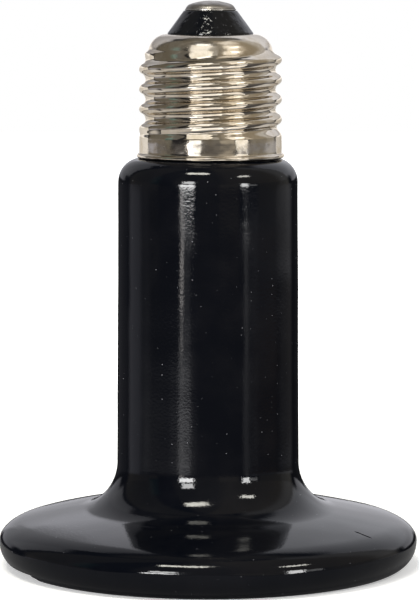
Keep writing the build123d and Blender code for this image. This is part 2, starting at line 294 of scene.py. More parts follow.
@dataclass(frozen=True)
class BlackGlaze(Finish):
    """Glossy black glaze with an uneven skin, pin-prick dust and one hairline crack."""

    name: str = "black_glaze"
    slot: str = "black_glaze"
    colour: Colour = (0.0017, 0.0021, 0.0035)
    worn_colour: Colour = (0.0028, 0.0031, 0.0045)
    dust_colour: Colour = (0.26, 0.26, 0.28)
    index: float = 1.33
    roughness: float = 0.05
    patch_roughness: float = 0.05
    dust_roughness: float = 0.4
    skin: Pattern = Pattern(2.3, 2.0, 0.55)
    skin_depth: float = 0.0095
    grain: Pattern = Pattern(3.4, 1.0)
    grain_depth: float = 0.0090
    least_grain: float = 0.4
    swell: Pattern = Pattern(0.16, 1.0)
    swell_depth: float = 0.016
    swell_stretch: float = 0.55
    patches: Pattern = Pattern(0.09, 3.0, 0.6, (0.42, 0.68))
    dust_cell: float = 0.9
    dust_radius: float = 0.06
    least_dust_radius: float = 0.02
    dust_threshold: float = 0.74
    dust_height: float = 0.02
    clusters: Pattern = Pattern(0.07, 2.0, 0.5, (0.42, 0.66))
    cluster_share: float = 0.4
    crack_start: Point = (26.2, -17.95)
    crack_end: Point = (29.2, -19.9)
    crack_width: float = 0.30
    crack_tip_share: float = 0.2
    crack_taper: float = 0.3
    crack_taper_softness: float = 0.4
    crack_tip_softness: float = 0.01
    crack_wander: float = 1.1
    wander: Pattern = Pattern(0.55, 1.0)

    def dust(self, graph: Graph, place: Value) -> Value:
        """Cover of the small pale specks.

        Args:
            graph: The material's tree.
            place: The point of the surface, in millimetres.

        Returns:
            1 on a speck, otherwise 0.
        """
        sockets = {"Vector": place, "Scale": 1 / self.dust_cell, "Randomness": 1.0}
        nearest = graph.node("ShaderNodeTexVoronoi", None, sockets, "Distance")
        red, green, _ = graph.split(nearest.sibling("Color"))
        chosen = red + self.clusters.over(graph, place) * self.cluster_share > self.dust_threshold
        radius = green * green * self.dust_radius + self.least_dust_radius
        distance = nearest * self.dust_cell
        return chosen * (distance < radius)

    def crack(self, graph: Graph, place: Value) -> Value:
        """Cover of the hairline crack on the disc, right of the neck.

        Args:
            graph: The material's tree.
            place: The point of the surface, in millimetres.

        Returns:
            1 in the crack, otherwise 0.
        """
        x, y, _ = graph.split(place)
        start_x, start_y = self.crack_start
        run_x, run_y = self.crack_end[0] - start_x, self.crack_end[1] - start_y
        length = math.hypot(run_x, run_y)
        along = ((x - start_x) * run_x + (y - start_y) * run_y) / length
        across = ((x - start_x) * run_y - (y - start_y) * run_x) / length
        wander = self.wander.over(graph, place) * self.crack_wander - self.crack_wander / 2
        offset = graph.math("ABSOLUTE", across + wander)
        full = graph.band(along, self.crack_taper, length - self.crack_taper, self.crack_taper_softness)
        width = self.crack_width * (full * (1 - self.crack_tip_share) + self.crack_tip_share)
        return (offset < width) * graph.band(along, 0.0, length, self.crack_tip_softness)

    def shade(self, graph: Graph, place: Value) -> Value:
        """Adds the glaze's nodes.

        Args:
            graph: The material's tree.
            place: The point of the surface, in millimetres.

        Returns:
            The shader.
        """
        stretched = graph.vector("MULTIPLY", place, (1.0, 1.0, self.swell_stretch))
        patches = self.patches.over(graph, place)
        dust = self.dust(graph, place)
        crack = self.crack(graph, place)
        grain = self.grain.over(graph, place) * (patches * (1 - self.least_grain) + self.least_grain)
        height = self.skin.over(graph, place) * self.skin_depth
        height = height + self.swell.over(graph, stretched) * self.swell_depth + grain * self.grain_depth
        normal = self.bump(graph, height + dust * self.dust_height)
        ground = graph.blend(patches, opaque(self.colour), opaque(self.worn_colour))
        colour = graph.blend(dust, ground, opaque(self.dust_colour))
        roughness = self.roughness + patches * self.patch_roughness + dust * self.dust_roughness
        sockets = {
            "Base Color": colour,
            "Roughness": roughness,
            "IOR": self.index,
            "Normal": normal,
        }
        glaze = graph.node("ShaderNodeBsdfPrincipled", None, sockets)
        open_crack = graph.node("ShaderNodeBsdfDiffuse", None, {"Color": opaque(self.colour)})
        return graph.node("ShaderNodeMixShader", None, {0: crack, 1: glaze, 2: open_crack})


@dataclass(frozen=True)
class NickelPlate(Finish):
    """Polished nickel plate, tarnished warm, with rolling marks round the axis."""

    name: str = "nickel_plate"
    slot: str = "nickel_plate"
    bright: Colour = (0.77, 0.715, 0.635)
    tarnish: Colour = (0.62, 0.54, 0.425)
    stain: Colour = (0.20, 0.14, 0.085)
    edge_tint: Colour = (0.72, 0.70, 0.67)
    tarnish_share: float = 0.75
    spot_share: float = 0.35
    speckle_share: float = 0.3
    roughness: float = 0.03
    rolling_roughness: float = 0.03
    cloud_roughness: float = 0.03
    spot_roughness: float = 0.15
    skirt_roughness: float = 0.12
    dome_roughness: float = 0.12
    axis_x: float = 0.45
    skirt_edge: Span = (79.6, 78.2)
    dome_edge: Span = (93.6, 95.4)
    cloud: Pattern = Pattern(0.28, 3.0, 0.6, (0.40, 0.66))
    spots: Pattern = Pattern(1.7, 2.0, 0.6, (0.70, 0.78))
    speckle: Pattern = Pattern(3.6, 1.0, 0.5, (0.68, 0.74))
    rolling: Pattern = Pattern(1.0, 3.0, 0.6)
    rolling_fineness: Span = (4.0, 9.0)
    rolling_depth: float = 0.0016
    spun: Pattern = Pattern(1.0)
    spun_fineness: Span = (26.0, 0.9)
    spun_depth: float = 0.006
    grain: Pattern = Pattern(7.0, 2.0, 0.7)
    grain_depth: float = 0.0006
    skirt_grain_depth: float = 0.0022
    waves: Pattern = Pattern(0.45, 1.0)
    wave_depth: float = 0.02
    dents: Pattern = Pattern(0.33, 1.0)
    skirt_dent_depth: float = 0.05

    def round_axis(self, graph: Graph, place: Value, fineness: Span) -> Value:
        """The vector of a pattern of marks round the axis.

        Args:
            graph: The material's tree.
            place: The point of the surface, in millimetres.
            fineness: How fine the marks are, round the axis and along it.

        Returns:
            The vector.
        """
        x, y, z = graph.split(place)
        angle = graph.math("ARCTAN2", y, x - self.axis_x)
        return graph.joined(angle * fineness[0], 0.0, z * fineness[1])

    def shade(self, graph: Graph, place: Value) -> Value:
        """Adds the plate's nodes.

        Args:
            graph: The material's tree.
            place: The point of the surface, in millimetres.

        Returns:
            The shader.
        """
        _, _, z = graph.split(place)
        rolling = self.rolling.over(graph, self.round_axis(graph, place, self.rolling_fineness))
        spun = self.spun.over(graph, self.round_axis(graph, place, self.spun_fineness))
        cloud, spots, speckle, grain, waves, dents = (
            pattern.over(graph, place)
            for pattern in (self.cloud, self.spots, self.speckle, self.grain, self.waves, self.dents)
        )
        skirt = graph.step(z, *self.skirt_edge)
        dome = graph.step(z, *self.dome_edge)
        stained = spots * self.spot_share + speckle * skirt * self.speckle_share
        colour = graph.blend(cloud * self.tarnish_share, opaque(self.bright), opaque(self.tarnish))
        colour = graph.blend(stained, colour, opaque(self.stain))
        roughness = self.roughness + rolling * self.rolling_roughness + cloud * self.cloud_roughness
        roughness = roughness + spots * self.spot_roughness
        roughness = roughness + skirt * grain * self.skirt_roughness + dome * self.dome_roughness
        grain_depth = self.grain_depth + skirt * self.skirt_grain_depth
        height = rolling * self.rolling_depth + grain * grain_depth
        height = height + waves * self.wave_depth + dome * spun * self.spun_depth
        height = height + skirt * dents * self.skirt_dent_depth
        sockets = {
            "Base Color": colour,
            "Metallic": 1.0,
            "Specular Tint": opaque(self.edge_tint),
            "Roughness": roughness,
            "Normal": self.bump(graph, height),
        }
        return graph.node("ShaderNodeBsdfPrincipled", None, sockets)


@dataclass(frozen=True)
class BlackGlass(Finish):
    """Opaque black glass, lumpy from its mould."""

    name: str = "black_glass"
    slot: str = "black_glass"
    colour: Colour = (0.0030, 0.0034, 0.0044)
    chipped_colour: Colour = (0.012, 0.012, 0.014)
    index: float = 1.36
    roughness: float = 0.05
    chip_roughness: float = 0.10
    lumps: Pattern = Pattern(0.9, 2.0, 0.6)
    lump_depth: float = 0.07
    chips: Pattern = Pattern(1.7, 2.0, 0.5, (0.58, 0.75))
    chip_depth: float = 0.02

    def shade(self, graph: Graph, place: Value) -> Value:
        """Adds the glass's nodes.

        Args:
            graph: The material's tree.
            place: The point of the surface, in millimetres.

        Returns:
            The shader.
        """
        lumps = self.lumps.over(graph, place)
        chips = self.chips.over(graph, place)
        sockets = {
            "Base Color": graph.blend(chips, opaque(self.colour), opaque(self.chipped_colour)),
            "Roughness": self.roughness + chips * self.chip_roughness,
            "IOR": self.index,
            "Normal": self.bump(graph, lumps * self.lump_depth + chips * self.chip_depth),
        }
        return graph.node("ShaderNodeBsdfPrincipled", None, sockets)


@dataclass(frozen=True)
class DullMetal(Finish):
    """Dull grey metal with a fine grain: solder, wire and the plate under the solder."""

    name: str = "dull_metal"
    slot: str = "solder"
    colour: Colour = (0.32, 0.30, 0.275)
    dark: Colour = (0.16, 0.148, 0.135)
    roughness: float = 0.34
    cloud: Pattern = Pattern(0.6, 3.0, 0.6, (0.38, 0.62))
    cloud_share: float = 0.6
    cloud_roughness: float = 0.12
    grain: Pattern = Pattern(2.2, 3.0, 0.6)
    grain_depth: float = 0.03
    lumps: Pattern = Pattern(0.8, 1.0)
    lumps_to_grain: float = 2.0
    pits: Pattern = Pattern(3.0, 1.0, 0.5, (0.66, 0.74))
    pit_share: float = 0.3
    pit_roughness: float = 0.1
    pit_depth: float = 0.01

    def shade(self, graph: Graph, place: Value) -> Value:
        """Adds the metal's nodes.

        Args:
            graph: The material's tree.
            place: The point of the surface, in millimetres.

        Returns:
            The shader.
        """
        cloud = self.cloud.over(graph, place)
        pits = self.pits.over(graph, place)
        grain = self.grain.over(graph, place) + self.lumps.over(graph, place) * self.lumps_to_grain
        darkened = cloud * self.cloud_share + pits * self.pit_share
        sockets = {
            "Base Color": graph.blend(darkened, opaque(self.colour), opaque(self.dark)),
            "Metallic": 1.0,
            "Roughness": self.roughness + cloud * self.cloud_roughness + pits * self.pit_roughness,
            "Normal": self.bump(graph, grain * self.grain_depth - pits * self.pit_depth),
        }
        return graph.node("ShaderNodeBsdfPrincipled", None, sockets)


@dataclass(frozen=True)
class Cement(Finish):
    """Matt, slightly gritty cement."""

    name: str = "cement"
    slot: str = "cement"
    colour: Colour = (0.62, 0.60, 0.55)
    dark: Colour = (0.42, 0.40, 0.36)
    roughness: float = 0.85
    grit_roughness: float = 0.1
    grit: Pattern = Pattern(2.5, 4.0, 0.7)
    grit_edge: Span = (0.35, 0.7)
    grit_depth: float = 0.12

    def shade(self, graph: Graph, place: Value) -> Value:
        """Adds the cement's nodes.

        Args:
            graph: The material's tree.
            place: The point of the surface, in millimetres.

        Returns:
            The shader.
        """
        grit = self.grit.over(graph, place)
        coarse = graph.step(grit, *self.grit_edge)
        sockets = {
            "Base Color": graph.blend(coarse, opaque(self.colour), opaque(self.dark)),
            "Roughness": self.roughness + grit * self.grit_roughness,
            "Normal": self.bump(graph, grit * self.grit_depth),
        }
        return graph.node("ShaderNodeBsdfPrincipled", None, sockets)


# Outlines


@dataclass(frozen=True)
class Row:
    """One ring of a turned piece: a point of its outline and what is done to it."""

    radius: float
    height: float
    shift: float = 0.0
    thread: float = 0.0
    inset: float = 0.0
    uneven: float = 0.0
    ridge: float = 0.0


@dataclass
class Outline:
    """The outline of a turned piece, as rings from its start to its end."""

    shift: float = 0.0
    rows: list[Row] = field(default_factory=list)
    inset: float = 0.0
    uneven: float = 0.0
    ridge: float = 0.0

    def point(self, radius: float, height: float, thread: float = 0.0) -> None:
        """Adds one ring.

        Args:
            radius: Its radius.
            height: Its height.
            thread: How far the ring follows the thread.
        """
        self.rows.append(Row(radius, height, self.shift, thread, self.inset, self.uneven, self.ridge))

    def line(self, end: Point, steps: int = 1) -> None:
        """Adds rings along a straight run from the last one.

        Args:
            end: Radius and height of the run's end.
            steps: How many rings it gets.
        """
        start = (self.rows[-1].radius, self.rows[-1].height)
        for i in range(1, steps + 1):
            t = i / steps
            self.point(start[0] + (end[0] - start[0]) * t, start[1] + (end[1] - start[1]) * t)

    def arc(self, centre: Point, radii: Point, start: float, sweep: float, steps: int) -> None:
        """Adds rings along an arc of an ellipse.

        Args:
            centre: Its centre.
            radii: Its half widths across and up.
            start: Angle of its first point, in degrees.
            sweep: Angle that it turns through, in degrees.
            steps: How many rings it gets after its first.
        """
        for i in range(steps + 1):
            angle = math.radians(start + sweep * i / steps)
            self.point(centre[0] + radii[0] * math.cos(angle), centre[1] + radii[1] * math.sin(angle))

    def mesh(self, name: str) -> bpy.types.Mesh:
        """Makes the outline a mesh of loose points with what is done to each as attributes.

        Args:
            name: The mesh's name.

        Returns:
            The mesh, one point for each ring.
        """
        mesh = bpy.data.meshes.new(name)
        mesh.from_pydata([(row.radius, 0.0, row.height) for row in self.rows], [], [])
        for key in ("shift", "thread", "inset", "uneven", "ridge"):
            attribute = mesh.attributes.new(key, "FLOAT", "POINT")
            attribute.data.foreach_set("value", [getattr(row, key) for row in self.rows])
        return mesh


# Turning with geometry nodes


@dataclass(frozen=True)
class Thread:
    """A rolled right-hand round thread."""

    pitch: float = 3.629
    crest_height: float = 82.3
    root_radius: float = 11.9
    depth: float = 1.15


@dataclass(frozen=True)
class Ridge:
    """The spiral ridge of the underside, made of half turns about two centres."""

    radius: float = 32.4
    pitch: float = 7.0
    foot_width: float = 4.6
    depth: float = 1.4
    flank: float = 1.5
    turns: int = 4
    start_angle: float = 211.0
    end_reach: float = 3.4
    rim_reach: float = 37.256


@dataclass(frozen=True)
class Uneven:
    """How far and how finely a skin wanders from its true form."""

    depth: float = 0.05
    scale: float = 0.2
    seed: float = 1.0


SizeGroup = Union[Thread, Ridge, Uneven]


def named_sizes(*groups: SizeGroup) -> dict[str, float]:
    """The sizes of groups under the names that the turning tree's inputs have.

    Args:
        groups: The groups, such as a thread.

    Returns:
        Each size by its name, such as "Thread Pitch".
    """
    sizes = {}
    for group in groups:
        for item in fields(group):
            value = getattr(group, item.name)
            if isinstance(value, float):
                sizes[f"{type(group).__name__} {item.name}".replace("_", " ").title()] = value
    return sizes


class TurningTree:
    """A geometry tree that turns an outline into a closed skin, with its thread, ridge and unevenness."""

    MERGE = 1e-7  # metres between points that are one

    def __init__(self, name: str, ridge_turns: int = 0) -> None:
        """Builds the tree.

        Args:
            name: Its name.
            ridge_turns: How many turns the ridge has, or 0 for a piece without one.
        """
        self.tree = bpy.data.node_groups.new(name, "GeometryNodeTree")
        self.graph = Graph(self.tree)
        self.ids: dict[str, str] = {}
        self._declare("Outline", "NodeSocketGeometry")
        self._declare("Turns Round", "NodeSocketInt")
        for key, value in named_sizes(Thread(), Ridge(), Uneven()).items():
            self._declare(key, "NodeSocketFloat", value)
        self._declare("Finish", "NodeSocketMaterial")
        self.tree.interface.new_socket(name="Piece", in_out="OUTPUT", socket_type="NodeSocketGeometry")
        self.inputs = self.graph.node("NodeGroupInput")
        self._build(ridge_turns)

    def _declare(self, name: str, kind: str, value: Optional[float] = None) -> None:
        """Adds a named input.

        Args:
            name: Its name.
            kind: Its socket's type.
            value: Its value at first, if it has one.
        """
        socket = self.tree.interface.new_socket(name=name, in_out="INPUT", socket_type=kind)
        if value is not None:
            socket.default_value = value
        self.ids[name] = socket.identifier

    def _input(self, name: str) -> Value:
        """The named input's value."""
        return self.inputs.sibling(name)

    def _sampled(self, source: Value, row: Value, kind: str) -> Value:
        """A value of the outline at a row.

        Args:
            source: The value to read.
            row: The ring's number.
            kind: The value's type.

        Returns:
            The value at that ring.
        """
        settings = {"data_type": kind, "domain": "POINT"}
        sockets = {"Geometry": self._input("Outline"), "Value": source, "Index": row}
        return self.graph.node("GeometryNodeSampleIndex", settings, sockets)

    def _share(self, name: str, row: Value) -> Value:
        """A named attribute of the outline at a row.

        Args:
            name: The attribute's name.
            row: The ring's number.

        Returns:
            The attribute at that ring.
        """
        kind = "GeometryNodeInputNamedAttribute"
        source = self.graph.node(kind, {"data_type": "FLOAT"}, {"Name": name}, "Attribute")
        return self._sampled(source, row, "FLOAT")

    def _threaded(self, radius: Value, height: Value, angle: Value, row: Value) -> Value:
        """The radius on the thread, whose crests and roots are arcs that meet on its flanks.

        Args:
            radius: The radius without the thread.
            height: The ring's height.
            angle: The angle round the axis.
            row: The ring's number.

        Returns:
            The radius, as far as the ring follows the thread.
        """
        graph = self.graph
        pitch, depth = self._input("Thread Pitch"), self._input("Thread Depth")
        turns = (height - self._input("Thread Crest Height")) / pitch - angle / FULL_TURN
        off_crest = graph.math("ABSOLUTE", graph.math("FRACT", turns + 0.5) - 0.5) * pitch
        is_crest = off_crest < pitch / 4
        off_middle = off_crest * is_crest + (pitch / 2 - off_crest) * (1 - is_crest)
        rounding = pitch * pitch / (16 * depth) + depth / 4
        fall = rounding - graph.math("SQRT", rounding * rounding - off_middle * off_middle)
        rise = (depth - fall) * is_crest + fall * (1 - is_crest)
        threaded = self._input("Thread Root Radius") + rise
        share = self._share("thread", row)
        return radius * (1 - share) + (threaded - self._share("inset", row)) * share

    def _flank(self, into_ridge: Value) -> Value:
        """Height of the underside at a distance into the ridge from its foot.

        Args:
            into_ridge: The distance, below 0 inside a groove.

        Returns:
            The height, 0 on the ridge's flat crest.
        """
        graph = self.graph
        flank = self._input("Ridge Flank")
        left = graph.math("MINIMUM", graph.math("MAXIMUM", flank - into_ridge, 0.0), flank)
        drop = graph.math("SQRT", flank * flank - left * left)
        return graph.math("MAXIMUM", self._input("Ridge Depth") - drop, 0.0)

    def _nearest_groove(self, radius: Value, first: Value, turns: int) -> Value:
        """Distance into the ridge from the nearest groove of one half of the underside.

        Args:
            radius: Distance from that half's centre.
            first: Radius of its outermost groove.
            turns: How many grooves it has.

        Returns:
            The distance, below 0 inside a groove.
        """
        graph = self.graph
        pitch = self._input("Ridge Pitch")
        half = (pitch - self._input("Ridge Foot Width")) / 2
        nearest = graph.math("ABSOLUTE", radius - first)
        for turn in range(1, turns):
            groove = first - pitch * turn
            nearest = graph.math("MINIMUM", nearest, graph.math("ABSOLUTE", radius - groove))
        return nearest - half

    def _ridged(self, x: Value, y: Value, turns: int) -> Value:
        """Height of the underside at a point.

        Args:
            x: The point's distance to the right.
            y: The point's distance back.
            turns: How many turns the ridge has.

        Returns:
            The height, 0 on the ridge's flat crest.
        """
        graph = self.graph
        turn = graph.math("RADIANS", self._input("Ridge Start Angle"))
        cosine, sine = graph.math("COSINE", turn), graph.math("SINE", turn)
        along = x * cosine + y * sine
        beside = y * cosine - x * sine
        pitch = self._input("Ridge Pitch")
        first = self._input("Ridge Radius") - pitch / 2
        front_radius = graph.math("SQRT", along * along + beside * beside)
        moved = along + pitch / 2
        back_radius = graph.math("SQRT", moved * moved + beside * beside)
        inner = self._input("Ridge Radius") - pitch + self._input("Ridge Foot Width") / 2
        outer = self._input("Ridge Rim Reach")
        far = along + (outer - inner) / 2
        run_out = (outer + inner) / 2 - graph.math("SQRT", far * far + beside * beside)
        front = self._flank(self._nearest_groove(front_radius, first, turns))
        into_back = self._nearest_groove(back_radius, first - pitch / 2, turns)
        back = self._flank(graph.math("MINIMUM", into_back, run_out))
        reach = self._input("Ridge End Reach")
        left = graph.clamped((reach - beside) / reach)
        nose = self._input("Ridge Depth") - self._input("Ridge Flank") * graph.math("SQRT", 1 - left * left)
        front = graph.math("MAXIMUM", front, nose * (along > first))
        is_front = beside > 0.0
        return front * is_front + back * (1 - is_front)

    def _build(self, ridge_turns: int) -> None:
        """Adds the tree's nodes.

        Args:
            ridge_turns: How many turns the ridge has, or 0 for none.
        """
        graph = self.graph
        outline = self._input("Outline")
        kind = "GeometryNodeAttributeDomainSize"
        rows = graph.node(kind, {"component": "MESH"}, {"Geometry": outline}, "Point Count")
        columns = self._input("Turns Round") + 1
        sockets = {"Size X": 1.0, "Size Y": 1.0, "Vertices X": rows, "Vertices Y": columns}
        grid = graph.node("GeometryNodeMeshGrid", None, sockets, "Mesh")
        index = graph.node("GeometryNodeInputIndex")
        row = graph.math("FLOOR", (index + 0.5) / columns)
        angle = (index - row * columns) / (columns - 1) * FULL_TURN
        place = self._sampled(graph.node("GeometryNodeInputPosition"), row, "FLOAT_VECTOR")
        radius, _, height = graph.split(place)
        radius = self._threaded(radius, height, angle, row)
        x, y = radius * graph.math("COSINE", angle), radius * graph.math("SINE", angle)
        if ridge_turns:
            ridged = graph.math("MAXIMUM", height, self._ridged(x, y, ridge_turns))
            height = height + (ridged - height) * self._share("ridge", row)
        point = graph.joined(x + self._share("shift", row), y, height)
        sockets = {
            "Vector": point,
            "W": self._input("Uneven Seed"),
            "Scale": self._input("Uneven Scale"),
            "Detail": 1.0,
        }
        wave = graph.node("ShaderNodeTexNoise", {"noise_dimensions": "4D"}, sockets, "Color")
        wave = graph.vector("SUBTRACT", wave, (0.5, 0.5, 0.5))
        wave = graph.scaled(wave, self._share("uneven", row) * self._input("Uneven Depth"))
        point = graph.scaled(graph.plus(point, wave), MILLIMETRE)
        skin = graph.node("GeometryNodeSetPosition", None, {"Geometry": grid, "Position": point})
        steps = (
            ("GeometryNodeMergeByDistance", {"Distance": self.MERGE}),
            ("GeometryNodeSetShadeSmooth", {"Shade Smooth": True}),
            ("GeometryNodeRealizeInstances", {}),
            ("GeometryNodeSetMaterial", {"Material": self._input("Finish")}),
        )
        for kind, sockets in steps:
            skin = graph.node(kind, None, {"Geometry": skin, **sockets})
        graph.node("NodeGroupOutput", None, {0: skin})

    def turn(
        self,
        name: str,
        outline: Outline,
        segments: int,
        finish: bpy.types.Material,
        groups: Sequence[SizeGroup],
    ) -> bpy.types.Object:
        """Turns an outline into a finished piece.

        Args:
            name: The piece's name.
            outline: Its outline.
            segments: How many steps it has round the axis.
            finish: Its material.
            groups: The size groups that set the tree's named inputs.

        Returns:
            The piece, a plain mesh with its object at the origin.
        """
        piece = bpy.data.objects.new(name, outline.mesh(name + "_outline"))
        bpy.context.scene.collection.objects.link(piece)
        modifier = piece.modifiers.new("turning", "NODES")
        modifier.node_group = self.tree
        modifier[self.ids["Turns Round"]] = segments
        modifier[self.ids["Finish"]] = finish
        for key, value in named_sizes(*groups).items():
            modifier[self.ids[key]] = value
        bpy.context.view_layer.update()
        graph = bpy.context.evaluated_depsgraph_get()
        mesh = bpy.data.meshes.new_from_object(piece.evaluated_get(graph), depsgraph=graph)
        piece.modifiers.clear()
        piece.data = mesh
        mesh.name = name
        facing_out(mesh)
        return piece


def facing_out(mesh: bpy.types.Mesh) -> None:
    """Turns every face of a closed mesh outwards.

    Args:
        mesh: The mesh, which is changed.
    """
    work = bmesh.new()
    work.from_mesh(mesh)
    bmesh.ops.recalc_face_normals(work, faces=work.faces)
    if work.calc_volume(signed=True) < 0:
        bmesh.ops.reverse_faces(work, faces=work.faces)
    work.to_mesh(mesh)
    work.free()


def hand_over(piece: bpy.types.Object, node: str) -> None:
    """Makes a piece ride on the body, in place of its CAD node, and reports it.

    Args:
        piece: The finished piece.
        node: The CAD node that it replaces.
    """
    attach(piece, ROOT)
    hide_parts(node)
    triangles = sum(len(face.vertices) - 2 for face in piece.data.polygons)
    log.info("%s stands for %s: %d triangles", piece.name, node, triangles)


# The ceramic


@dataclass
class CeramicBody:
    """The glazed casting: disc, spiral underside, flare, neck, shoulder and spigot."""

    finish: BlackGlaze = BlackGlaze()
    ridge: Ridge = Ridge()
    disc_radius: float = 38.46
    rim_height: float = 4.8
    lower_reach: float = 4.4
    upper_reach: float = 7.2
    upper_rise: float = 4.15
    crown_fall: float = 14.2
    crown_radius: float = 115.0
    crown_overlap: float = 0.3
    flare_radius: float = 8.7
    neck_base_radius: float = 16.7
    neck_top_radius: float = 16.4
    shoulder_height: float = 75.2
    shoulder_round: float = 4.3
    spigot_radius: float = 11.2
    spigot_height: float = 91.5
    spigot_chamfer: float = 0.8
    spigot_shift: float = 0.45
    bore_radius: float = 8.6
    bore_floor: float = 13.0
    bore_floor_round: float = 3.0
    segments: int = 288
    uneven: Uneven = Uneven(0.16, 0.09)

    def outline(self) -> Outline:
        """The outline, from the middle of the underside round to the floor of the bore.

        Returns:
            The rings of the whole casting.
        """
        fall = math.radians(self.crown_fall)
        rim_angle = math.atan2(self.upper_rise * math.cos(fall), self.upper_reach * math.sin(fall))
        rim_x = self.disc_radius - self.upper_reach + self.upper_reach * math.cos(rim_angle)
        rim_z = self.rim_height + self.upper_rise * math.sin(rim_angle)
        crown_x = rim_x - self.crown_radius * math.sin(fall)
        crown_z = rim_z - self.crown_radius * math.cos(fall)
        flare_x = self.neck_base_radius + self.flare_radius
        span = (self.crown_radius + self.flare_radius) ** 2 - (flare_x - crown_x) ** 2
        flare_z = crown_z + math.sqrt(span)
        meet = math.degrees(math.atan2(flare_z - crown_z, flare_x - crown_x))
        shoulder_x = self.neck_top_radius - self.shoulder_round
        shoulder_z = self.shoulder_height - self.shoulder_round
        foot = self.disc_radius - self.lower_reach
        outline = Outline(ridge=1.0)
        outline.point(0.0, 0.0)
        outline.line((foot, 0.0), steps=140)
        lower = (self.lower_reach, self.rim_height)
        outline.arc((foot, self.rim_height), lower, OVERLAP - 90, 90 - OVERLAP, steps=22)
        outline.ridge = 0.0
        outline.uneven = 1.0
        rim = (self.disc_radius - self.upper_reach, self.rim_height)
        upper = (self.upper_reach, self.upper_rise)
        outline.arc(rim, upper, OVERLAP, math.degrees(rim_angle) - OVERLAP, steps=20)
        start = 90 - self.crown_fall + self.crown_overlap
        outline.arc((crown_x, crown_z), (self.crown_radius,) * 2, start, meet - start, steps=14)
        flare = (self.flare_radius,) * 2
        outline.arc((flare_x, flare_z), flare, meet + 180 - OVERLAP, OVERLAP - meet, steps=24)
        outline.line((self.neck_top_radius, shoulder_z), steps=36)
        outline.arc((shoulder_x, shoulder_z), (self.shoulder_round,) * 2, start=4, sweep=84, steps=14)
        outline.uneven = 0.0
        outline.point(shoulder_x, self.shoulder_height)
        outline.shift = self.spigot_shift
        outline.point(self.spigot_radius, self.shoulder_height)
        outline.line((self.spigot_radius, self.spigot_height - self.spigot_chamfer), steps=6)
        outline.line((self.spigot_radius - self.spigot_chamfer, self.spigot_height))
        outline.shift = 0.0
        outline.point(self.bore_radius, self.spigot_height)
        corner = self.bore_radius - self.bore_floor_round
        corner_z = self.bore_floor + self.bore_floor_round
        outline.line((self.bore_radius, corner_z), steps=12)
        outline.arc((corner, corner_z), (self.bore_floor_round,) * 2, start=-10, sweep=-80, steps=8)
        outline.point(0.0, self.bore_floor)
        return outline

    def build(self) -> bpy.types.Object:
        """Makes the casting.

        Returns:
            The finished piece.
        """
        tree = TurningTree("turned_with_ridge", self.ridge.turns)
        groups = (self.ridge, self.uneven)
        piece = tree.turn("glazed_ceramic", self.outline(), self.segments, self.finish.build(), groups)
        hand_over(piece, "ceramic_body")
        return piece


# The cap


